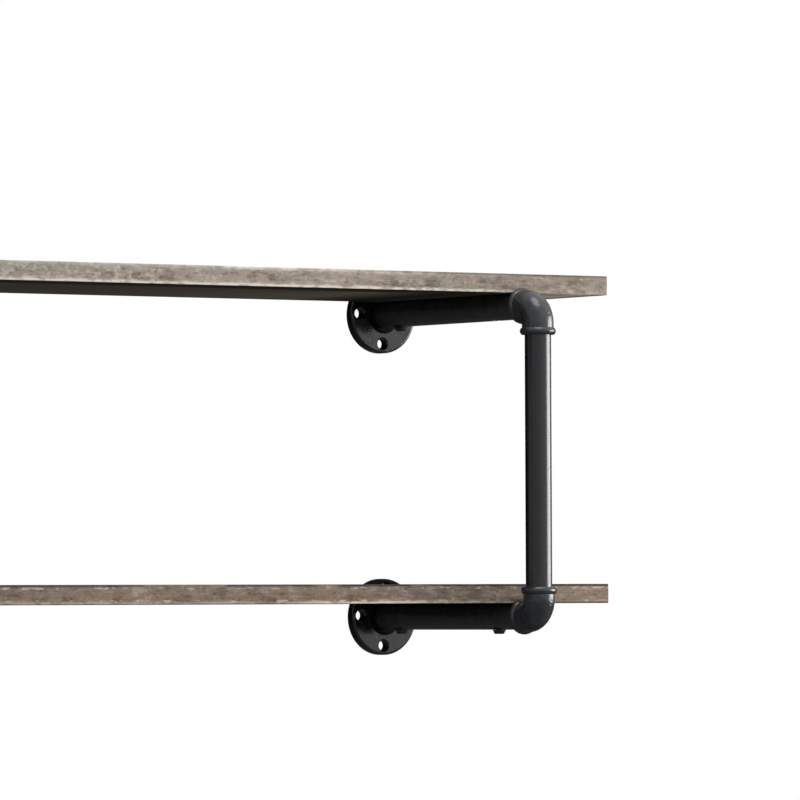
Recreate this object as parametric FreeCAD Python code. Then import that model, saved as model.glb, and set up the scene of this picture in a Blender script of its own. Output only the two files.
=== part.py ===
import FreeCAD, Part
import math
import os

# A wall shelf with two boards, carried by two pipe brackets.
# Y = 0 is the wall and the shelf stands out towards -Y. +X runs along the wall, to the right
# as seen from the room, and +Z is up. The origin is the centre of the back of the upper wall
# flange of the right-hand bracket. All lengths are millimetres.

# Boards
board_length = 914.0
board_depth = 240.0
board_thickness = 19.0
board_edge_round = 1.5
# From a board's end to the middle of the bracket beside it.
board_overhang = 105.0
# Free space from the board's back edge to the hub, and from its front edge to the elbow.
board_back_clearance = 0.75
board_front_clearance = 0.75

# Height between the axes of a bracket's two arms
arm_spacing = 305.0

# Pipe
pipe_outside = 26.0
pipe_wall = 2.6
thread_outside = 25.0
thread_clearance = 0.05
thread_lead = 1.0
elbow_thread_length = 13.0
# How far the arm's thread stops short of the wall.
arm_end_setback = 0.5

# Elbow fittings
elbow_outside = 31.2
elbow_bend_radius = 18.5
# From the crossing of the two axes to each mouth.
elbow_reach = 29.0
elbow_bead_outside = 35.4
elbow_bead_width = 7.2
# How far the socket runs on past the end of the thread.
socket_relief = 0.5

# Wall flanges
flange_diameter = 77.0
flange_thickness = 10.0
flange_edge_round = 2.5
hub_height = 1.5
hub_diameter = 31.0
hub_foot_diameter = 36.0
flange_hole_diameter = 10.5
flange_sink_diameter = 13.5
# From the rim to the middle of each wall-screw hole.
flange_hole_inset = 9.5
flange_hole_count = 4
# Turn of the hole pattern, clockwise as seen from the room.
flange_turn_degrees = 3.0

# Board screws
screw_diameter = 4.8
screw_tip_length = 4.0
screw_bite = 14.0
screw_wood_clearance = 0.05
screw_pipe_clearance = 0.3
screw_seat_clearance = 0.05
# The seen head is a low cone that tapers away from the arm.
raised_head_diameter = 13.5
raised_head_face_diameter = 9.2
raised_head_height = 4.1
# The sunk head lies inside the arm's outline.
sunk_head_diameter = 9.6
sunk_head_height = 2.4
recess_width = 1.1
recess_length = 5.0
recess_depth = 1.4
# Screw places, from the wall and from the board's front edge.
rear_screw_from_wall = 41.0
front_screw_from_edge = 39.0

# Every cutting body runs this much past the face that it cuts.
overrun = 2.0

# Places that follow from the sizes
hub_face = flange_thickness + hub_height
board_back = hub_face + board_back_clearance
board_front = board_back + board_depth
arm_reach = board_front + board_front_clearance + elbow_reach
bracket_spacing = board_length - 2 * board_overhang
pipe_radius = pipe_outside / 2
bore_radius = pipe_radius - pipe_wall
thread_radius = thread_outside / 2
socket_radius = thread_radius + thread_clearance
elbow_thread_end = elbow_reach - elbow_thread_length
front_screw_from_wall = board_front - front_screw_from_edge

sides = {"right": 0.0, "left": -bracket_spacing}
levels = {"upper": 0.0, "lower": -arm_spacing}
# Which way the upright leaves each arm: down from the upper one, up from the lower one.
upright_way = {"upper": -1, "lower": 1}

along_x = FreeCAD.Vector(1, 0, 0)
along_y = FreeCAD.Vector(0, 1, 0)
along_z = FreeCAD.Vector(0, 0, 1)


def point(x, y, z):
    return FreeCAD.Vector(x, y, z)


def rod(radius, start, end):
    """A cylinder between two points."""
    run = end - start
    return Part.makeCylinder(radius, run.Length, start, run)


def cone(start_radius, end_radius, start, end):
    """A cone or its stump between two points."""
    run = end - start
    return Part.makeCone(start_radius, end_radius, run.Length, start, run)


def turned(outline, start, axis):
    """A solid turned about an axis, from an outline of edges."""
    face = Part.Face(Part.Wire(outline))
    return face.revolve(start, axis, 360)


def placed(shape, x, z):
    moved = shape.copy()
    moved.translate(point(x, 0, z))
    return moved


def board():
    """One board, resting on the arms, in the frame of the upper right arm."""
    corner = point(board_overhang - board_length, -board_front, pipe_radius)
    plank = Part.makeBox(board_length, board_depth, board_thickness, corner)
    plank = plank.makeFillet(board_edge_round, plank.Edges)
    pilot_radius = screw_diameter / 2 + screw_wood_clearance
    for x in sides.values():
        for from_wall in (rear_screw_from_wall, front_screw_from_wall):
            mouth = point(x, -from_wall, pipe_radius - overrun)
            bottom = point(x, -from_wall, pipe_radius + screw_bite)
            plank = plank.cut(rod(pilot_radius, mouth, bottom))
    return plank


def wall_flange():
    """A round flange with a low hub, a bore for the arm and sunk wall-screw holes."""
    rim = flange_diameter / 2
    rounded = flange_edge_round
    bulge = rounded * math.sqrt(0.5)
    back_middle = point(0, 0, 0)
    back_rim = point(rim, 0, 0)
    side_end = point(rim, rounded - flange_thickness, 0)
    round_middle = point(rim - rounded + bulge, rounded - flange_thickness - bulge, 0)
    round_end = point(rim - rounded, -flange_thickness, 0)
    hub_foot = point(hub_foot_diameter / 2, -flange_thickness, 0)
    hub_edge = point(hub_diameter / 2, -hub_face, 0)
    hub_middle = point(0, -hub_face, 0)
    outline = [
        Part.makeLine(back_middle, back_rim),
        Part.makeLine(back_rim, side_end),
        Part.Arc(side_end, round_middle, round_end).toShape(),
        Part.makeLine(round_end, hub_foot),
        Part.makeLine(hub_foot, hub_edge),
        Part.makeLine(hub_edge, hub_middle),
        Part.makeLine(hub_middle, back_middle),
    ]
    flange = turned(outline, back_middle, along_y)
    flange = flange.cut(rod(socket_radius, point(0, overrun, 0), point(0, -hub_face - overrun, 0)))
    hole_radius = flange_hole_diameter / 2
    sink_radius = flange_sink_diameter / 2
    sink_depth = sink_radius - hole_radius
    hole_place = rim - flange_hole_inset
    for number in range(flange_hole_count):
        angle = math.radians(number * 360 / flange_hole_count + flange_turn_degrees)
        x = math.sin(angle) * hole_place
        z = math.cos(angle) * hole_place
        hole = rod(hole_radius, point(x, overrun, z), point(x, -flange_thickness - overrun, z))
        sink_start = point(x, sink_depth - flange_thickness, z)
        sink_end = point(x, -flange_thickness - overrun, z)
        sink = cone(hole_radius, sink_radius + overrun, sink_start, sink_end)
        flange = flange.cut(hole.fuse(sink))
    return flange


def thread_end(shoulder, end):
    """The threaded end of a pipe, drawn as a plain spigot with a bevelled lead."""
    way = (end - shoulder).normalize()
    lead_start = end - way * thread_lead
    spigot = rod(thread_radius, shoulder, lead_start)
    return spigot.fuse(cone(thread_radius, thread_radius - thread_lead, lead_start, end))


def pipe(start, first_shoulder, last_shoulder, end):
    """A pipe between two fittings, with a threaded end in each."""
    outside = rod(pipe_radius, first_shoulder, last_shoulder)
    outside = outside.fuse([thread_end(first_shoulder, start), thread_end(last_shoulder, end)])
    way = (end - start).normalize() * overrun
    return outside.cut(rod(bore_radius, start - way, end + way)).removeSplitter()


def arm(front_screw_is_sunk):
    """An arm from the wall flange to the elbow, drilled for its two board screws."""
    tube = pipe(
        point(0, -arm_end_setback, 0),
        point(0, -hub_face, 0),
        point(0, elbow_reach - arm_reach, 0),
        point(0, elbow_thread_end - arm_reach, 0),
    )
    hole_radius = screw_diameter / 2 + screw_pipe_clearance
    for from_wall in (rear_screw_from_wall, front_screw_from_wall):
        bottom = point(0, -from_wall, -pipe_radius - overrun)
        top = point(0, -from_wall, pipe_radius + overrun)
        tube = tube.cut(rod(hole_radius, bottom, top))
    if front_screw_is_sunk:
        tube = tube.cut(sunk_head(front_screw_from_wall, screw_seat_clearance, overrun))
    return tube


def elbow(way):
    """A quarter-bend fitting with a bead round each mouth; way is -1 down or 1 up."""
    corner = point(0, -arm_reach, 0)
    bend_start = corner + along_y * elbow_bend_radius
    bend_end = corner + along_z * (way * elbow_bend_radius)
    pivot = bend_start + along_z * (way * elbow_bend_radius)

    def swept(radius):
        section = Part.Face(Part.Wire(Part.makeCircle(radius, bend_start, along_y)))
        return section.revolve(pivot, along_x, -way * 90)

    outside = swept(elbow_outside / 2)
    inside = swept(bore_radius)
    for run, start in ((along_y, bend_start), (along_z * way, bend_end)):
        mouth = corner + run * elbow_reach
        outside = outside.fuse([rod(elbow_outside / 2, start, mouth), mouth_bead(mouth, run)])
        passage = rod(bore_radius, start, mouth)
        socket_bottom = mouth - run * (elbow_thread_length + socket_relief)
        socket = rod(socket_radius, socket_bottom, mouth + run * overrun)
        inside = inside.fuse([passage, socket])
    return outside.removeSplitter().cut(inside).removeSplitter()


def mouth_bead(mouth, run):
    """The rounded band cast round an elbow's mouth."""
    outwards = along_x
    inner = mouth - run * elbow_bead_width
    middle = mouth - run * (elbow_bead_width / 2)
    body_edge = outwards * (elbow_outside / 2)
    crest = outwards * (elbow_bead_outside / 2)
    outline = [
        Part.makeLine(mouth, mouth + body_edge),
        Part.Arc(mouth + body_edge, middle + crest, inner + body_edge).toShape(),
        Part.makeLine(inner + body_edge, inner),
        Part.makeLine(inner, mouth),
    ]
    return turned(outline, mouth, run)


def upright():
    """The front pipe that joins a bracket's two elbows."""
    return pipe(
        point(0, -arm_reach, -elbow_thread_end),
        point(0, -arm_reach, -elbow_reach),
        point(0, -arm_reach, elbow_reach - arm_spacing),
        point(0, -arm_reach, elbow_thread_end - arm_spacing),
    )


def shank(from_wall, head_top):
    """A screw's shank, up through the arm and into the board."""
    tip = point(0, -from_wall, pipe_radius + screw_bite)
    tip_start = tip - along_z * screw_tip_length
    radius = screw_diameter / 2
    stem = rod(radius, point(0, -from_wall, head_top), tip_start)
    return stem.fuse(cone(radius, 0, tip_start, tip))


def cross_recess(from_wall, face):
    """The crossed slots in a screw's head, open downwards."""
    slots = []
    for length, width in ((recess_length, recess_width), (recess_width, recess_length)):
        corner = point(-length / 2, -from_wall - width / 2, face - overrun)
        slots.append(Part.makeBox(length, width, recess_depth + overrun, corner))
    return slots[0].fuse(slots[1])


def raised_screw(from_wall):
    """A board screw whose head stands proud under the arm."""
    seat = -pipe_radius - screw_seat_clearance
    face = seat - raised_head_height
    head = cone(
        raised_head_diameter / 2,
        raised_head_face_diameter / 2,
        point(0, -from_wall, seat),
        point(0, -from_wall, face),
    )
    return head.fuse(shank(from_wall, seat)).cut(cross_recess(from_wall, face))


def sunk_head_face():
    """Height of the sunk head's face, where its edge meets the arm's round outline."""
    return -math.sqrt(pipe_radius ** 2 - (sunk_head_diameter / 2) ** 2)


def sunk_head(from_wall, clearance, depth_below):
    """The sunk head, or with clearances the seat that it needs in the arm."""
    face = sunk_head_face()
    top = face + sunk_head_height
    wide = sunk_head_diameter / 2 + clearance
    narrow = screw_diameter / 2 + clearance
    head = cone(wide, narrow, point(0, -from_wall, face), point(0, -from_wall, top))
    if depth_below:
        way_in = rod(wide, point(0, -from_wall, face - depth_below), point(0, -from_wall, face))
        head = head.fuse(way_in)
    return head


def sunk_screw(from_wall):
    """A board screw whose head lies inside the arm's outline."""
    head = sunk_head(from_wall, 0, 0)
    body = head.fuse(shank(from_wall, sunk_head_face() + sunk_head_height))
    return body.cut(cross_recess(from_wall, sunk_head_face()))


def on_both_sides(shape, z):
    """Two copies of a fastener, one in each bracket, as a group of separate solids."""
    return Part.makeCompound([placed(shape, x, z) for x in sides.values()])


def build():
    """Every piece of the shelf, by its name."""
    pieces = {}
    flange = wall_flange()
    for level, z in levels.items():
        arm_piece = arm(front_screw_is_sunk=(level == "upper"))
        elbow_piece = elbow(upright_way[level])
        pieces[level + "_board"] = placed(board(), 0, z)
        for side, x in sides.items():
            pieces[side + "_" + level + "_wall_flange"] = placed(flange, x, z)
            pieces[side + "_" + level + "_arm"] = placed(arm_piece, x, z)
            pieces[side + "_" + level + "_elbow"] = placed(elbow_piece, x, z)
        pieces[level + "_board_rear_screws"] = on_both_sides(raised_screw(rear_screw_from_wall), z)
    for side, x in sides.items():
        pieces[side + "_upright"] = placed(upright(), x, 0)
    front_upper = sunk_screw(front_screw_from_wall)
    front_lower = raised_screw(front_screw_from_wall)
    pieces["upper_board_front_screws"] = on_both_sides(front_upper, levels["upper"])
    pieces["lower_board_front_screws"] = on_both_sides(front_lower, levels["lower"])
    return pieces


os.makedirs("parts", exist_ok=True)
for name, shape in build().items():
    shape.exportStep("parts/" + name + ".step")
    box = shape.BoundBox
    print(name, len(shape.Solids), shape.isValid(), round(shape.Volume, 1),
          [round(v, 2) for v in (box.XMin, box.YMin, box.ZMin, box.XMax, box.YMax, box.ZMax)])
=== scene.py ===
import math

import bpy
from mathutils import Matrix, Vector, noise


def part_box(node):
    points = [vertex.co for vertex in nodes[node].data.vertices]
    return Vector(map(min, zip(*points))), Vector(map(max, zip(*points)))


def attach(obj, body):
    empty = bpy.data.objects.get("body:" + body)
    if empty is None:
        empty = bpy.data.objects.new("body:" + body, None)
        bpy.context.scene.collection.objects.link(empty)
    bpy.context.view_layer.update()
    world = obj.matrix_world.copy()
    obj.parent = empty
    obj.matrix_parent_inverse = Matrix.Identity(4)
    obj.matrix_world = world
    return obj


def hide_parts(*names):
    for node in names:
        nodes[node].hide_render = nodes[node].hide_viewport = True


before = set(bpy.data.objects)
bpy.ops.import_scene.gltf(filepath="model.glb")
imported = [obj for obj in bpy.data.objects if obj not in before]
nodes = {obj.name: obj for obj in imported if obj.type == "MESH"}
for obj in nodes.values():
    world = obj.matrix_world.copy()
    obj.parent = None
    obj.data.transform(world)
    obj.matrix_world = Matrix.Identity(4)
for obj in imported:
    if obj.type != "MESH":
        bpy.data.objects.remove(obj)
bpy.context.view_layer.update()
level_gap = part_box("upper_board")[0].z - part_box("lower_board")[0].z
bracket_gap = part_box("right_upright")[0].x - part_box("left_upright")[0].x

# Lengths are metres, angles radians, colours linear and noise scales per metre. X runs to the right
# from the right bracket's axis, y towards the wall, and z up from the upper arms' axis. A span says
# where a change starts and where it ends.

# Camera, at the photograph's place beside the shelf
image_pixels = 800
millimetres_per_metre = 1000
sensor_width = 0.036
focal_pixels = 7152.2
camera_place = Vector((-4.0163, -6.0244, -0.2963))
camera_turn = 0.59101
camera_tilt = 0.029099
camera_roll = -0.0041701
camera_near = 0.1
camera_far = 100.0

# Stage
circle_points = 96
floor_height = -10.5
floor_radius = 22.0
floor_pale = (0.86, 0.86, 0.85)
floor_glow = 0.25
backdrop_radius = 25.0
backdrop_bands = 30
backdrop_colour = (0.0, 0.0, 0.0)
backdrop_glow = 1.0
stage_white = (1.0, 1.0, 1.0)
stage_roughness = 0.9

# Lamps. Turns are measured from straight in front of the shelf, to the right.
light_target = Vector((0.0, -0.28, -0.15))
strip_turn = math.radians(66.3)
strip_rise = math.radians(4)
strip_distance = 3.0
strip_width = 2.1
strip_height = 1.35
strip_power = 95.0
end_place = Vector((0.60, -0.36, -0.25))
end_target = Vector((0.105, -0.16, 0.013))
end_cone = math.radians(33)
end_power = 30.0
end_softness = 0.03

# Studio light by direction. Its spans run along x, y or z of the unit direction.
studio_tint = (0.98, 1.0, 1.03)
horizon_z = (-0.14, 0.02)
front_end_y = (0.52, 0.70)
across_x = (-1.0, 0.6)
left_glow = 0.45
right_glow = 1.12
past_strip_x = (0.65, 0.9)
past_strip_y = (-0.08, 0.15)
past_strip_loss = 0.75
overhead_turn = math.radians(-24)
overhead_rise = math.radians(76)
overhead_cosine = (0.92, 0.98)
overhead_glow = 4.5
faint_y = (-0.1, 0.3)
faint_front_glow = 0.24
faint_back_glow = 0.08
behind_y = (0.3, 0.6)
behind_x = (-0.75, -0.35)
behind_z = (-0.20, -0.08)
behind_loss = 0.97

# Black paint. Each noise has its scale, detail and roughness; the scales of the orange peel and its
# pits are per width of the peel.
patch_noise = (75.0, 5.0, 0.65)
patch_span = (0.3, 0.7)
patch_dark = 0.62
patch_pale = 1.42
patch_smooth = 0.85
patch_rough = 1.2
peel_noise = (1.0, 3.0, 0.5)
peel_bump = 0.3
pit_noise = (0.45, 2.0, 0.5)
pit_span = (0.30, 0.38)
pit_bump = 0.25
dust_noise = (190.0, 5.0, 0.7)
dust_span = (0.55, 0.78)
dust_most = 0.08
dust_colour = (0.20, 0.19, 0.18)

# Painted shade on the flanges: above a height over the arm's axis (the board's shade), within a
# distance from that axis on the hub (the arm's shadow), and the y of the surface's normal at the rim
flange_shade_height = (0.028, 0.032)
hub_shadow_radius = (0.0180, 0.0198)
flange_shade_colour = (0.0075, 0.0075, 0.0075)
flange_shade_roughness = 0.55
rim_facing = (0.05, 0.5)
rim_most = 0.7
rim_colour = (0.004, 0.004, 0.004)

# Noise of the wood: its scale along, into and up the board, its detail, its roughness and, for the
# growth, its distortion
wood_noise = {
    "growth": ((0.4, 8.0, 8.0), 1.0, 0.4, 0.1),
    "streaks": ((6.0, 170.0, 170.0), 6.0, 0.72),
    "fibres": ((18.0, 700.0, 700.0), 3.0, 0.6),
    "clouds": ((26.0, 50.0, 50.0), 2.0, 0.5),
    "blotches": ((75.0, 130.0, 130.0), 2.0, 0.5),
    "saw_streaks": ((70.0, 420.0, 420.0), 2.0, 0.5),
    "fine": (430.0, 2.0, 0.5),
    "wobble": ((0.0, 60.0, 60.0), 3.0, 0.5),
    "pores": ((300.0, 900.0, 900.0), 2.0, 0.6),
    "drift": ((9.0, 28.0, 28.0), 3.0, 0.55),
    "hue": ((30.0, 60.0, 60.0), 2.0, 0.5),
    "cracks": ((5.0, 420.0, 420.0), 2.0, 0.5),
    "flecks": ((130.0, 210.0, 210.0), 1.0, 0.5),
    "specks": ((95.0, 270.0, 270.0), 2.0, 0.5),
    "chipping": ((75.0, 190.0, 190.0), 2.0, 0.5),
    "top_band_waver": ((30.0, 30.0, 90.0), 3.0, 0.6),
    "rubbing": ((85.0, 150.0, 150.0), 3.0, 0.5),
    "shade_and_line_patching": ((20.0, 90.0, 90.0), 2.0, 0.5),
}
# How far each noise moves the wood's tone from one. It is negative for rings, which have dark crests.
tone_swing = {
    "face_rings": -0.11,
    "end_rings": -0.22,
    "streaks": 0.32,
    "fibres": 0.26,
    "clouds": 0.12,
    "blotches": 0.17,
    "saw_streaks": 0.13,
    "fine": 0.11,
    "pores": 0.35,
    "drift": 0.10,
    "specks": 0.35,
}
swing_span = (0.25, 0.75)
face_ring_count = 30.0
end_ring_scale = 420.0
end_ring_wobble = 2.5
end_tone = 0.75

# Knots: how the grain is squeezed and pushed round one, and how far out it bends and the dark core
# ends, in sizes of the knot
knot_squeeze = (0.7, 1.0, 0.0)
knot_push = (0.0, -0.8, 0.0)
knot_bend = (0.5, 4.0)
knot_core = (0.55, 0.8)

# Tone and colour of the wood. The grain is full on top and fades to a share of that underneath.
grain_margin = 0.002
underside_grain = 0.35
calm_x = (-0.12, 0.03)
calm_most = 0.35
shade_x = (-0.45, 0.10)
hue_span = (0.35, 0.65)
warm_share = (1.03, 0.98, 0.97)
cool_share = (0.93, 1.0, 0.98)
grey_and_lit_share = (1.02, 1.01, 0.98)
crack_shade = 0.45
# How dark the painted shade and the dark lines along edges are, as a share of the dark grain
shade_and_line_darkness = 0.12
dark_tone = (1.0, 0.55)
dark_most = 0.95
pale_tone = (1.0, 1.45)
pale_most = 0.85
crack_span = (0.29, 0.335)
crack_most = 0.7
knot_most = 0.75
grain_bump = 0.55
fine_bump = 0.35
grain_depth = 0.0004
rough_tone = (0.7, 1.3)
rough_dark = 0.86
rough_pale = 0.70
wood_shine = 0.25

# Marks on the boards' sides: pale flecks, dark specks, rows of chips, and a grey band under the top
# edge that is part weathering and part painted light from above
fleck_x = (-0.44, -0.38)
fleck_more = 0.24
fleck_span = (0.64, 0.72)
fleck_right = 0.4
speck_span = (0.36, 0.30)
speck_most = 0.6
low_row_height = 0.0030
low_row_reach = 0.0016
high_row_depth = 0.0036
high_row_reach = 0.0014
row_core = 0.4
chipping_span = (0.55, 0.63)
grey_waver = 0.020
grey_depth = (0.0050, 0.0010)
grey_x = (-0.35, -0.08)
grey_right = 0.15
rubbing_span = (0.38, 0.54)
rubbing_least = 0.40
# Patches that break up the painted shade and dark lines on the sides
shade_and_line_patch_span = (0.36, 0.46)
shade_and_line_patch_least = 0.15

# Grid of a board's mesh: distances of its first lines from each edge, and the step between the rest
edge_lines = (0.0, 0.0004, 0.0009, 0.0015, 0.0022, 0.0031, 0.0045)
grid_steps = (0.0025, 0.0040, 0.0016)

# Rounding and chips of the boards' edges. The waves are (scale, height).
round_least = 0.0008
chip_most = 0.0018
chip_curve = 1.2
chip_scale = (60, 60, 110)
chip_waves = ((1.9, 0.55), (0.6, 0.55))

# Pale rubbed edges: their width and its swing, and where along the board they change
rub_width = 0.0026
rub_swing = 0.0012
rub_fade = (0.7, 1.4)
upper_half = (0.0095, 0.0133)
middle_start_x = (-0.350, -0.340)
middle_end_x = (-0.108, -0.098)
far_left_x = (-0.28, -0.20)
past_bracket_x = (-0.02, 0.02)
past_bracket_loss = 0.88
end_rub = 0.3

# Painted shade on the undersides, a painted shadow beside the bracket, and dark lines along the
# front edges: distances from an edge, and where along the board they change
bottom_skin = 0.0001
front_edge_depth = (0.0008, 0.0030)
top_line_depth = (0.0014, 0.0028)
low_line_height = (0.0008, 0.0022)
end_line_margin = (0.0024, 0.0008)
end_line_dark = 0.5
rightward_x = (-0.30, -0.10)
beside_bracket_x = (-0.22, -0.07)
under_front_depth = (0.035, 0.060)
under_end_margin = (0.024, 0.010)
under_beyond_x = (-0.05, 0.03)
# Painted shade: the undersides darker all over and behind the front edge, with the arm's shadow
# painted beside the bracket; and darker near the right end
under_shade = 0.60
under_front_shade = 0.40
under_bracket_shadow = 0.97
under_end_dark = 0.75


def vector_from(turn, rise):
    """The direction that lies at a turn to the right of straight in front, and at a rise."""
    flat = math.cos(rise)
    return Vector((math.sin(turn) * flat, -math.cos(turn) * flat, math.sin(rise)))


def make_camera():
    data = bpy.data.cameras.new("camera")
    data.sensor_width = sensor_width * millimetres_per_metre
    data.lens = focal_pixels / image_pixels * sensor_width * millimetres_per_metre
    data.clip_start = camera_near
    data.clip_end = camera_far
    camera = bpy.data.objects.new("camera", data)
    bpy.context.scene.collection.objects.link(camera)
    ahead = Vector((
        math.sin(camera_turn) * math.cos(camera_tilt),
        math.cos(camera_turn) * math.cos(camera_tilt),
        math.sin(camera_tilt),
    ))
    level_right = Vector((math.cos(camera_turn), -math.sin(camera_turn), 0))
    level_up = level_right.cross(ahead)
    right = level_right * math.cos(camera_roll) + level_up * math.sin(camera_roll)
    up = level_up * math.cos(camera_roll) - level_right * math.sin(camera_roll)
    turn = Matrix((right, up, -ahead)).transposed().to_4x4()
    camera.matrix_world = Matrix.Translation(camera_place) @ turn
    bpy.context.scene.camera = camera


class Shader:
    """A material's or the world's node tree, filled one node at a time."""

    def __init__(self, owner):
        owner.use_nodes = True
        self.tree = owner.node_tree
        self.tree.nodes.clear()

    def add(self, kind, *values, **settings):
        """Adds a node, with values for its open inputs in order."""
        node = self.tree.nodes.new(kind)
        for name, value in settings.items():
            setattr(node, name, value)
        for socket, value in zip([s for s in node.inputs if s.enabled], values):
            self.put(socket, value)
        return node

    def put(self, socket, value):
        """Gives a socket a link, or its own number, vector or colour of three parts."""
        if isinstance(value, bpy.types.NodeSocket):
            self.tree.links.new(value, socket)
        elif isinstance(value, bpy.types.Node):
            self.tree.links.new(value.outputs[0], socket)
        elif socket.type == "RGBA":
            socket.default_value = (*value, 1.0)
        else:
            socket.default_value = value

    def value(self, kind, *values, **settings):
        """Adds a node and gives its first open output."""
        node = self.add(kind, *values, **settings)
        return next(socket for socket in node.outputs if socket.enabled)

    def math(self, operation, *values):
        return self.value("ShaderNodeMath", *values, operation=operation)

    def vector(self, operation, *values):
        return self.value("ShaderNodeVectorMath", *values, operation=operation)

    def product(self, first, *others):
        """The numbers multiplied together."""
        result = first
        for other in others:
            result = self.math("MULTIPLY", result, other)
        return result

    def inverse(self, value):
        """One less the value."""
        return self.math("SUBTRACT", 1.0, value)

    def eased(self, factor, share):
        """The factor, brought towards one so that only a share of its difference is left."""
        return self.math("MULTIPLY_ADD", self.math("SUBTRACT", factor, 1.0), share, 1.0)

    def ramp(self, value, low, high, to_low=0.0, to_high=1.0):
        """A smooth step from low to high."""
        return self.value("ShaderNodeMapRange", value, low, high, to_low, to_high,
                          interpolation_type="SMOOTHSTEP")

    def noise(self, place, scale, detail, roughness, distortion=0.0):
        """Noise from 0 to 1; the scale is one number or one for each axis."""
        if isinstance(scale, tuple):
            place = self.vector("MULTIPLY", place, scale)
            scale = 1.0
        node = self.add("ShaderNodeTexNoise", place, scale, detail, roughness)
        node.inputs["Distortion"].default_value = distortion
        return node.outputs[0]

    def mix(self, share, first, second, kind="RGBA"):
        return self.value("ShaderNodeMix", share, first, second, data_type=kind)

    def gradient(self, value, *stops):
        """A colour between two stops of (place, colour)."""
        node = self.add("ShaderNodeValToRGB", value)
        for element, (place, colour) in zip(node.color_ramp.elements, stops):
            element.position = place
            element.color = (*colour, 1.0)
        return node.outputs[0]

    def bumps(self, depth, *reliefs):
        """The surface's normal, with each relief of (height, strength) laid over the last."""
        normal = None
        for height, strength in reliefs:
            node = self.add("ShaderNodeBump")
            self.put(node.inputs["Height"], height)
            self.put(node.inputs["Strength"], strength)
            self.put(node.inputs["Distance"], depth)
            if normal is not None:
                self.put(node.inputs["Normal"], normal)
            normal = node.outputs[0]
        return normal

    def cover(self, inputs):
        """The shader of the surface, with its inputs by name."""
        surface = self.add("ShaderNodeBsdfPrincipled")
        for name, value in inputs.items():
            self.put(surface.inputs[name], value)
        self.add("ShaderNodeOutputMaterial", surface)


def make_world():
    """Studio light: bright in front and above, dim behind and below."""
    world = bpy.data.worlds.new("studio")
    bpy.context.scene.world = world
    shader = Shader(world)
    direction = shader.add("ShaderNodeTexCoord").outputs["Generated"]
    x, y, z = shader.add("ShaderNodeSeparateXYZ", direction).outputs
    lit = shader.product(
        shader.ramp(z, *horizon_z),
        shader.ramp(y, *front_end_y, 1.0, 0.0),
        shader.ramp(x, *across_x, left_glow, right_glow),
    )
    past_strip = shader.product(shader.ramp(x, *past_strip_x), shader.ramp(y, *past_strip_y))
    lit = shader.product(lit, shader.math("MULTIPLY_ADD", past_strip, -past_strip_loss, 1.0))
    overhead_way = vector_from(overhead_turn, overhead_rise)
    cosine = shader.vector("DOT_PRODUCT", direction, overhead_way)
    lit = shader.math("ADD", lit, shader.ramp(cosine, *overhead_cosine, 0.0, overhead_glow))
    behind = shader.product(
        shader.ramp(y, *behind_y),
        shader.ramp(x, *behind_x),
        shader.ramp(z, *behind_z),
    )
    faint = shader.product(
        shader.ramp(y, *faint_y, faint_front_glow, faint_back_glow),
        shader.inverse(shader.product(behind, behind_loss)),
    )
    strength = shader.math("ADD", lit, faint)
    background = shader.add("ShaderNodeBackground", studio_tint, strength)
    shader.add("ShaderNodeOutputWorld", background)


def camera_only(thing):
    """The thing is seen by the camera and gives no light or shade to the shelf."""
    thing.visible_diffuse = False
    thing.visible_glossy = False
    thing.visible_transmission = False
    thing.visible_volume_scatter = False
    thing.visible_shadow = False


def plain_stage(name, mesh, colour, glow):
    material = bpy.data.materials.new(name)
    Shader(material).cover({
        "Base Color": colour,
        "Roughness": stage_roughness,
        "Specular IOR Level": 0.0,
        "Emission Color": stage_white,
        "Emission Strength": glow,
    })
    mesh.materials.append(material)
    thing = bpy.data.objects.new(name, mesh)
    bpy.context.scene.collection.objects.link(thing)
    camera_only(thing)


def ring(radius, height):
    """Points round a level circle."""
    turns = [2 * math.pi * i / circle_points for i in range(circle_points)]
    return [(radius * math.cos(t), radius * math.sin(t), height) for t in turns]


def make_stage():
    """A level floor inside a white ball."""
    disc = bpy.data.meshes.new("floor")
    disc.from_pydata(ring(floor_radius, floor_height), [], [tuple(range(circle_points))])
    plain_stage("floor", disc, floor_pale, floor_glow)
    points = []
    for level in range(backdrop_bands + 1):
        rise = math.radians(-90 + 180 * level / backdrop_bands)
        points += ring(backdrop_radius * math.cos(rise), backdrop_radius * math.sin(rise))
    faces = []
    for level in range(backdrop_bands):
        lower = level * circle_points
        upper = lower + circle_points
        for i in range(circle_points):
            j = (i + 1) % circle_points
            faces.append((lower + i, lower + j, upper + j, upper + i))
    dome = bpy.data.meshes.new("backdrop")
    dome.from_pydata(points, [], faces)
    plain_stage("backdrop", dome, backdrop_colour, backdrop_glow)


def place_lamp(data, place, away):
    """Hangs a lamp at a place, shining against the direction away."""
    lamp = bpy.data.objects.new(data.name, data)
    bpy.context.scene.collection.objects.link(lamp)
    lamp.location = place
    lamp.rotation_mode = "QUATERNION"
    lamp.rotation_quaternion = away.to_track_quat("Z", "Y")
    return lamp


def make_strip():
    """The tall light to the right that draws the bright line down the uprights."""
    data = bpy.data.lights.new("strip", "AREA")
    data.shape = "RECTANGLE"
    data.size = strip_width
    data.size_y = strip_height
    data.energy = strip_power
    away = vector_from(strip_turn, strip_rise)
    place_lamp(data, light_target + away * strip_distance, away)


def make_end_light():
    """A small soft light from below that reaches the underside of the upper board's right end."""
    data = bpy.data.lights.new("end_light", "SPOT")
    data.energy = end_power
    data.spot_size = end_cone
    data.spot_blend = 1.0
    data.shadow_soft_size = end_softness
    lamp = place_lamp(data, end_place, end_place - end_target)
    lamp.visible_glossy = False


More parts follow.
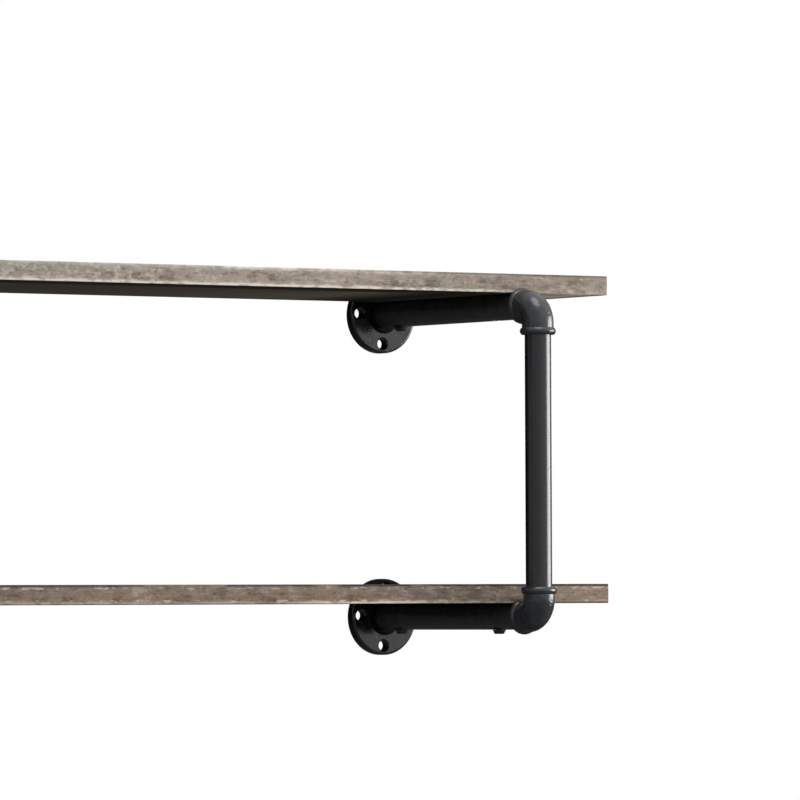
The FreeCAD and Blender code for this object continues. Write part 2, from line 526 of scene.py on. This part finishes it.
def flange_painted_shade(shader, texture):
    """Where a flange is painted with shade: on its upper part and hub, where the board and arm shade
    it, and at its rim and holes.
    """
    x, _, z = shader.add("ShaderNodeSeparateXYZ", texture.outputs["Object"]).outputs
    is_lower = shader.math("LESS_THAN", z, -level_gap / 2)
    height = shader.math("MULTIPLY_ADD", is_lower, level_gap, z)
    from_middle = shader.math("ABSOLUTE", shader.math("ADD", x, bracket_gap / 2))
    aside = shader.math("SUBTRACT", from_middle, bracket_gap / 2)
    squares = shader.math("ADD", shader.product(aside, aside), shader.product(height, height))
    hub = shader.ramp(shader.math("SQRT", squares), *hub_shadow_radius, 1.0, 0.0)
    dull = shader.math("MAXIMUM", shader.ramp(height, *flange_shade_height), hub)
    facing = shader.add("ShaderNodeSeparateXYZ", texture.outputs["Normal"]).outputs["Y"]
    rim = shader.ramp(shader.math("ABSOLUTE", facing), *rim_facing, rim_most, 0.0)
    return dull, rim


def black_paint(name, base, roughness, shine, peel_width, peel_height, paints_flange_shade=False):
    """Satin black paint with an orange peel. On a flange, painted shade makes it dark and dull in
    places.
    """
    material = bpy.data.materials.new(name)
    shader = Shader(material)
    texture = shader.add("ShaderNodeTexCoord")
    place = texture.outputs["Object"]
    patches = shader.noise(place, *patch_noise)
    peel = shader.noise(place, peel_noise[0] / peel_width, *peel_noise[1:])
    pits = shader.noise(place, pit_noise[0] / peel_width, *pit_noise[1:])
    pits = shader.ramp(pits, *pit_span)
    dark = tuple(c * patch_dark for c in base)
    pale = tuple(c * patch_pale for c in base)
    colour = shader.gradient(patches, (patch_span[0], dark), (patch_span[1], pale))
    dust = shader.ramp(shader.noise(place, *dust_noise), *dust_span, 0.0, dust_most)
    colour = shader.mix(dust, colour, dust_colour)
    rough = shader.ramp(patches, *patch_span, roughness * patch_smooth, roughness * patch_rough)
    metallic = 0.0
    # Painted shade and shadow on the flange, in a dark, dull colour
    if paints_flange_shade:
        dull, rim = flange_painted_shade(shader, texture)
        colour = shader.mix(dull, colour, flange_shade_colour)
        colour = shader.mix(rim, colour, rim_colour)
        rough = shader.math("MULTIPLY_ADD", dull, flange_shade_roughness, rough)
        metallic = shader.math("MAXIMUM", dull, rim)
    shader.cover({
        "Base Color": colour,
        "Roughness": rough,
        "Metallic": metallic,
        "Specular IOR Level": shine,
        "Normal": shader.bumps(peel_height, (peel, peel_bump), (pits, pit_bump)),
    })
    return material


class Plank:
    """The look of one weathered board.

    Body, dark, pale and bare are the colours of most of the wood, its dark and pale grain, and its
    rubbed edges. The shift takes a place on the shelf to one in the grain, where the knots are
    (x, y, size) and the rings run round the pith. Three settings say how strong the grey band under
    the top edge is, part weathering and part painted light from above, and how strong the specks and
    chips are; right_shade says how light the wood is at its right end.
    """

    def __init__(self, name, node, *, body, dark, pale, bare, shift, knots, pith,
                 grey_and_lit_top, specked, chipped, right_shade):
        self.low, self.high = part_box(node)
        self.body = body
        self.dark = dark
        self.pale = pale
        self.bare = bare
        self.shift = shift
        self.knots = knots
        self.pith = pith
        self.grey_and_lit_top = grey_and_lit_top
        self.specked = specked
        self.chipped = chipped
        self.right_shade = right_shade
        self.material = bpy.data.materials.new(name)
        self.shader = Shader(self.material)
        self.fill()

    def noise(self, place, name):
        return self.shader.noise(place, *wood_noise[name])

    def mask(self, name):
        return self.shader.add("ShaderNodeAttribute", attribute_name=name).outputs["Fac"]

    def swing(self, value, name):
        """Noise turned to a factor between one less its swing and one and its swing."""
        spread = self.shader.ramp(value, *swing_span)
        return self.shader.math("MULTIPLY_ADD", spread, 2 * tone_swing[name], 1 - tone_swing[name])

    def swings(self, place, *names):
        """The factors of noises with these names."""
        return [self.swing(self.noise(place, name), name) for name in names]

    def knotted(self, place):
        """The place with the grain bent round each knot, and how near the closest knot is."""
        shader = self.shader
        nearness = 0.0
        bent = place
        for x, y, size in self.knots:
            away = shader.vector("SUBTRACT", place, (x, y, 0.0))
            flat = shader.vector("MULTIPLY", away, knot_squeeze)
            distance = shader.vector("LENGTH", flat)
            near = shader.ramp(distance, *(size * share for share in knot_bend), 1.0, 0.0)
            push = shader.vector("SCALE", shader.vector("MULTIPLY", flat, knot_push), near)
            bent = shader.vector("ADD", bent, push)
            core = shader.ramp(distance, *(size * share for share in knot_core), 1.0, 0.0)
            nearness = shader.math("MAXIMUM", nearness, core)
        return bent, nearness

    def figure(self, place, fibres):
        """The face's grain: long curved rings, darker late wood and fine fibres."""
        shader = self.shader
        turns = shader.product(self.noise(place, "growth"), face_ring_count)
        rings = shader.math("PINGPONG", turns, 1.0)
        return shader.product(
            self.swing(rings, "face_rings"),
            *self.swings(place, "streaks"),
            self.swing(fibres, "fibres"),
        )

    def mottle(self, place, fine):
        """The sawn side's soft blotches and short streaks, and its fine roughness."""
        return self.shader.product(
            *self.swings(place, "clouds", "blotches", "saw_streaks"),
            self.swing(fine, "fine"),
        )

    def end_rings(self, place):
        """Growth rings round the pith, on the sawn ends."""
        shader = self.shader
        away = shader.vector("SUBTRACT", place, self.pith)
        radius = shader.vector("LENGTH", shader.vector("MULTIPLY", away, (0.0, 1.0, 1.0)))
        wobble = shader.product(self.noise(place, "wobble"), end_ring_wobble)
        turns = shader.math("MULTIPLY_ADD", radius, end_ring_scale, wobble)
        rings = shader.math("PINGPONG", turns, 1.0)
        return shader.product(
            self.swing(rings, "end_rings"),
            *self.swings(place, "pores"),
            end_tone,
        )

    def toned(self, face, side_tone, place, side, x):
        """How light the wood is at a place, round one."""
        shader = self.shader
        tone = shader.mix(side, face, side_tone, "FLOAT")
        tone = shader.mix(self.mask("end"), tone, self.end_rings(place), "FLOAT")
        tone = shader.product(tone, *self.swings(place, "drift"))
        calm = shader.product(shader.ramp(x, *calm_x, 0.0, calm_most), side)
        tone = shader.eased(tone, shader.inverse(calm))
        return shader.product(tone, shader.ramp(x, *shade_x, 1.0, self.right_shade))

    def coloured(self, place, tone, cracks, knot):
        """The wood's colour by its tone, with dark cracks and knots."""
        shader = self.shader
        warm = tuple(c * share for c, share in zip(self.body, warm_share))
        cool = tuple(c * share for c, share in zip(self.body, cool_share))
        cracked = tuple(c * crack_shade for c in self.dark)
        colour = shader.mix(shader.ramp(self.noise(place, "hue"), *hue_span), warm, cool)
        colour = shader.mix(shader.ramp(tone, *dark_tone, 0.0, dark_most), colour, self.dark)
        colour = shader.mix(shader.ramp(tone, *pale_tone, 0.0, pale_most), colour, self.pale)
        colour = shader.mix(shader.product(cracks, crack_most), colour, cracked)
        return shader.mix(shader.product(knot, knot_most), colour, cracked)

    def band(self, z, middle, reach):
        """1 along a level line on the sides, fading to 0 at its reach above and below."""
        away = self.shader.math("ABSOLUTE", self.shader.math("SUBTRACT", z, middle))
        return self.shader.ramp(away, reach * row_core, reach, 1.0, 0.0)

    def chipping(self, place, z):
        """Two rows of chips, along the sides' lower and upper edges."""
        rows = self.shader.math(
            "MAXIMUM",
            self.band(z, self.low.z + low_row_height, low_row_reach),
            self.band(z, self.high.z - high_row_depth, high_row_reach),
        )
        chips_here = self.shader.ramp(self.noise(place, "chipping"), *chipping_span)
        return self.shader.product(rows, chips_here, self.chipped)

    def grey_and_lit_band(self, place, specks, x, z):
        """Grey under the sides' upper edge, stronger to the left: part weathering, part painted light
        from above.
        """
        shader = self.shader
        waver = shader.math("SUBTRACT", self.noise(place, "top_band_waver"), 0.5)
        height = shader.math("MULTIPLY_ADD", waver, grey_waver, z)
        levels = (self.high.z - depth for depth in grey_depth)
        return shader.product(
            shader.ramp(height, *levels, 0.0, self.grey_and_lit_top),
            self.swing(specks, "specks"),
            shader.ramp(x, *grey_x, 1.0, grey_right),
        )

    def marked(self, colour, place, side, x, z):
        """The colour with the sides' grey top band (part weathering, part painted light from above),
        specks and chips.
        """
        shader = self.shader
        more = shader.ramp(x, *fleck_x, fleck_more * self.specked, 0.0)
        flecks = shader.math("ADD", self.noise(place, "flecks"), more)
        flecks = shader.ramp(flecks, *fleck_span)
        flecks = shader.product(flecks, shader.ramp(x, *calm_x, 1.0, fleck_right))
        specks = self.noise(place, "specks")
        grey = sum(self.body) / 3
        grey_and_lit_colour = tuple(grey * share for share in grey_and_lit_share)
        for share, strength, tint in (
            (self.grey_and_lit_band(place, specks, x, z), 1.0, grey_and_lit_colour),
            (shader.ramp(specks, *speck_span), speck_most, self.dark),
            (flecks, self.specked, self.pale),
            (self.chipping(place, z), 1.0, self.bare),
        ):
            colour = shader.mix(shader.product(share, side, strength), colour, tint)
        return colour

    def rubbed_and_shaded(self, colour, place, side):
        """The colour with its edges rubbed to bare wood, and darkened by painted shade and by dark
        lines along edges.
        """
        shader = self.shader
        rubbed = shader.ramp(self.noise(place, "rubbing"), *rubbing_span, rubbing_least, 1.0)
        colour = shader.mix(shader.product(rubbed, self.mask("worn")), colour, self.bare)
        shade_and_line_patches = shader.ramp(self.noise(place, "shade_and_line_patching"), *shade_and_line_patch_span, shade_and_line_patch_least, 1.0)
        shade_and_line_patches = shader.math("MAXIMUM", shade_and_line_patches, shader.inverse(side))
        shade_and_line_colour = tuple(c * shade_and_line_darkness for c in self.dark)
        return shader.mix(shader.product(shade_and_line_patches, self.mask("painted_shade_and_lines")), colour, shade_and_line_colour)

    def fill(self):
        """The whole material."""
        shader = self.shader
        spot = shader.add("ShaderNodeTexCoord").outputs["Object"]
        place = shader.vector("ADD", spot, self.shift)
        x, _, z = shader.add("ShaderNodeSeparateXYZ", spot).outputs
        side = self.mask("side")
        bent, knot = self.knotted(place)
        fibres = self.noise(bent, "fibres")
        fine = self.noise(place, "fine")
        levels = (self.low.z + grain_margin, self.high.z - grain_margin)
        upward = shader.ramp(z, *levels, underside_grain, 1.0)
        face = shader.eased(self.figure(bent, fibres), upward)
        tone = self.toned(face, self.mottle(place, fine), place, side, x)
        cracks = shader.ramp(self.noise(bent, "cracks"), *crack_span, 1.0, 0.0)
        cracks = shader.product(cracks, upward, shader.inverse(side))
        colour = self.coloured(place, tone, cracks, knot)
        colour = self.marked(colour, place, side, x, z)
        relief = shader.math("SUBTRACT", fibres, cracks)
        shader.cover({
            "Base Color": self.rubbed_and_shaded(colour, place, side),
            "Roughness": shader.ramp(tone, *rough_tone, rough_dark, rough_pale),
            "Specular IOR Level": wood_shine,
            "Normal": shader.bumps(grain_depth, (relief, grain_bump), (fine, fine_bump)),
        })


def lines(low, high, step):
    """Grid lines from low to high: close together at both ends, and evenly between."""
    inner_low = low + edge_lines[-1]
    inner_high = high - edge_lines[-1]
    count = max(1, round((inner_high - inner_low) / step))
    even = [inner_low + (inner_high - inner_low) * i / count for i in range(1, count)]
    return [low + c for c in edge_lines] + even + [high - c for c in reversed(edge_lines)]


def step_between(value, low, high):
    """A smooth step from 0 at low to 1 at high."""
    share = min(max((value - low) / (high - low), 0.0), 1.0)
    return share * share * (3 - 2 * share)


def blend(first, second, share):
    """A number that goes from the first to the second as the share goes from 0 to 1."""
    return first + (second - first) * share


def chips(point, seed):
    """How chipped an edge is near a point, from about -0.6 to 0.6."""
    along = Vector([p * scale for p, scale in zip(point, chip_scale)]) + seed
    return sum(noise.noise(along * scale) * height for scale, height in chip_waves)


def worn_point(point, low, high, seed):
    """Where a point of the plank's box lies once the edges are worn."""
    radius = round_least + chip_most * max(0.0, chips(point, seed)) ** chip_curve
    inner = Vector([min(max(p, l + radius), h - radius) for p, l, h in zip(point, low, high)])
    out = point - inner
    depth = out.length
    if depth > 0:
        point = inner + out * (radius / depth)
    return point


def worn_mask(point, low, high, seed, wear_and_shade):
    """How pale the nearest edge is rubbed at a point. The underside isn't rubbed."""
    from_bottom = point.z - low.z
    if from_bottom <= bottom_skin:
        return 0.0
    margins = sorted(min(p - l, h - p) for p, l, h in zip(point, low, high))
    width = rub_width + rub_swing * chips(point, seed)
    rubbed = 1 - step_between(margins[1], *(width * share for share in rub_fade))
    middle = step_between(point.x, *middle_start_x) * (1 - step_between(point.x, *middle_end_x))
    top_worn = blend(wear_and_shade["top_edge"], wear_and_shade["top_edge_middle"], middle)
    far_left = 1 - step_between(point.x, *far_left_x)
    low_worn = blend(wear_and_shade["low_edge"], wear_and_shade["low_edge_left"], far_left)
    at_top = step_between(from_bottom, *upper_half)
    worn = rubbed * (at_top * top_worn + (1 - at_top) * low_worn)
    worn *= 1 - past_bracket_loss * step_between(point.x, *past_bracket_x)
    if point.x in (low.x, high.x):
        worn *= end_rub
    return worn


def painted_shade_and_lines_mask(point, low, high, wear_and_shade):
    """How dark a board is painted at a point: painted shade on its underside, a painted shadow beside
    the bracket, and dark lines along its front edges.
    """
    from_top = high.z - point.z
    from_bottom = point.z - low.z
    from_front = point.y - low.y
    past_bracket = step_between(point.x, *past_bracket_x)
    beside_bracket = step_between(point.x, *beside_bracket_x) * (1 - past_bracket)
    # Underside: painted shade all over, darker behind the front edge, a painted shadow of the arm
    # beside the bracket that fades out past it, and darker near the right end
    if from_bottom <= bottom_skin:
        near_front = 1 - step_between(from_front, *under_front_depth)
        near_end = step_between(point.x, *(high.x - margin for margin in under_end_margin))
        beyond = step_between(point.x, *under_beyond_x)
        under = max(under_shade + under_front_shade * near_front,
                    under_bracket_shadow * beside_bracket)
        return max((1 - beyond) * under, under_end_dark * near_end)
    rightward = step_between(point.x, *rightward_x)
    top_line = blend(wear_and_shade["top_line"], wear_and_shade["top_line_right"], rightward)
    top_line *= 1 - step_between(from_top, *top_line_depth)
    low_line = wear_and_shade["low_line"] * past_bracket * (1 - step_between(from_bottom, *low_line_height))
    # Painted shadow of the upright and elbow on the board's front, beside the bracket
    shaded = wear_and_shade["shaded"] * beside_bracket
    end_line = step_between(point.x, *(high.x - margin for margin in end_line_margin))
    front_edge = 1 - step_between(from_front, *front_edge_depth)
    return max(top_line, low_line, shaded, end_line_dark * end_line) * front_edge


def skin(last):
    """The faces round a block of cells: four grid places each, and whether to turn them about."""
    for axis in range(3):
        a, b = [n for n in range(3) if n != axis]
        for side in (0, last[axis]):
            turned = (side == 0) == (axis != 1)
            for u in range(last[a]):
                for v in range(last[b]):
                    corners = []
                    for du, dv in ((0, 0), (1, 0), (1, 1), (0, 1)):
                        corner = [0, 0, 0]
                        corner[axis] = side
                        corner[a] = u + du
                        corner[b] = v + dv
                        corners.append(tuple(corner))
                    yield corners, turned


def weathered_board(name, node, seed, plank, wear_and_shade):
    """A plank with worn, chipped edges, inside the box of the plain one."""
    low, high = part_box(node)
    grid = [lines(l, h, step) for l, h, step in zip(low, high, grid_steps)]
    last = [len(places) - 1 for places in grid]
    index = {}
    points = []
    masks = {"worn": [], "painted_shade_and_lines": [], "side": [], "end": []}
    faces = []
    for corners, turned in skin(last):
        for corner in corners:
            if corner in index:
                continue
            index[corner] = len(points)
            flat = Vector([places[i] for places, i in zip(grid, corner)])
            points.append(worn_point(flat, low, high, seed))
            masks["worn"].append(worn_mask(flat, low, high, seed, wear_and_shade))
            masks["painted_shade_and_lines"].append(painted_shade_and_lines_mask(flat, low, high, wear_and_shade))
            masks["side"].append(0.0 if corner[2] in (0, last[2]) else 1.0)
            masks["end"].append(1.0 if corner[0] in (0, last[0]) else 0.0)
        face = [index[corner] for corner in corners]
        if turned:
            face.reverse()
        faces.append(face)
    mesh = bpy.data.meshes.new(name)
    mesh.from_pydata(points, [], faces)
    mesh.update()
    for mask, values in masks.items():
        attribute = mesh.attributes.new(mask, "FLOAT", "POINT")
        attribute.data.foreach_set("value", values)
    mesh.shade_smooth()
    mesh.materials.append(plank.material)
    piece = bpy.data.objects.new(name, mesh)
    bpy.context.scene.collection.objects.link(piece)
    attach(piece, "root")
    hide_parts(node)


make_camera()
make_world()
make_stage()
make_strip()
make_end_light()
bpy.context.scene.view_settings.view_transform = "Standard"

upper_look = Plank(
    "upper_wood",
    "upper_board",
    body=(0.306, 0.252, 0.205),
    dark=(0.120, 0.092, 0.069),
    pale=(0.48, 0.42, 0.365),
    bare=(0.66, 0.58, 0.50),
    shift=(0.0, 0.0, 0.0),
    knots=((-0.16, -0.07, 0.007), (-0.52, -0.18, 0.009), (-0.71, -0.10, 0.005)),
    pith=(0.0, -0.11, -0.06),
    grey_and_lit_top=0.6,
    specked=0.5,
    chipped=0.25,
    right_shade=0.77,
)
lower_look = Plank(
    "lower_wood",
    "lower_board",
    body=(0.199, 0.142, 0.104),
    dark=(0.070, 0.046, 0.031),
    pale=(0.34, 0.275, 0.222),
    bare=(0.64, 0.55, 0.44),
    shift=(3.1, 1.7, 2.3),
    knots=((3.0, 1.58, 0.006), (2.55, 1.50, 0.009)),
    pith=(3.1, 1.60, 1.94),
    grey_and_lit_top=0.15,
    specked=0.2,
    chipped=0.5,
    right_shade=1.05,
)
# How pale the edges are rubbed, how dark the lines along them are, and how dark the painted shadow
# beside the bracket is
upper_wear_and_shade = {
    "top_edge": 0.30,
    "top_edge_middle": 0.85,
    "low_edge": 1.0,
    "low_edge_left": 1.0,
    "top_line": 0.0,
    "top_line_right": 0.5,
    "low_line": 0.0,
    "shaded": 0.0,
}
lower_wear_and_shade = {
    "top_edge": 0.0,
    "top_edge_middle": 0.0,
    "low_edge": 1.0,
    "low_edge_left": 0.35,
    "top_line": 0.72,
    "top_line_right": 0.9,
    "low_line": 0.7,
    "shaded": 0.4,
}
weathered_board("upper_plank", "upper_board", Vector((0, 0, 0)), upper_look, upper_wear_and_shade)
weathered_board("lower_plank", "lower_board", Vector((40, 11, 7)), lower_look, lower_wear_and_shade)

# Each finish goes to the nodes whose names end with its key
finishes = {
    "upright": black_paint(
        "pipe_paint",
        base=(0.007, 0.007, 0.0076),
        roughness=0.21,
        shine=0.5,
        peel_width=0.0016,
        peel_height=0.00004,
    ),
    # The arms' paint is a lighter copy of the uprights' paint: painted light on arms in the boards'
    # shade
    "arm": black_paint(
        "arm_paint_painted_lighter",
        base=(0.029, 0.029, 0.0298),
        roughness=0.30,
        shine=0.5,
        peel_width=0.0011,
        peel_height=0.00008,
    ),
    "elbow": black_paint(
        "elbow_paint",
        base=(0.0225, 0.0233, 0.0246),
        roughness=0.23,
        shine=0.5,
        peel_width=0.0034,
        peel_height=0.00075,
    ),
    "wall_flange": black_paint(
        "flange_paint",
        base=(0.0062, 0.0064, 0.0068),
        roughness=0.17,
        shine=0.5,
        peel_width=0.0030,
        peel_height=0.00020,
        paints_flange_shade=True,
    ),
    "screws": black_paint(
        "screw_paint",
        base=(0.01, 0.01, 0.01),
        roughness=0.3,
        shine=0.4,
        peel_width=0.0006,
        peel_height=0.00004,
    ),
}
for name, node in nodes.items():
    for ending, finish in finishes.items():
        if name.endswith(ending):
            node.data.materials.clear()
            node.data.materials.append(finish)
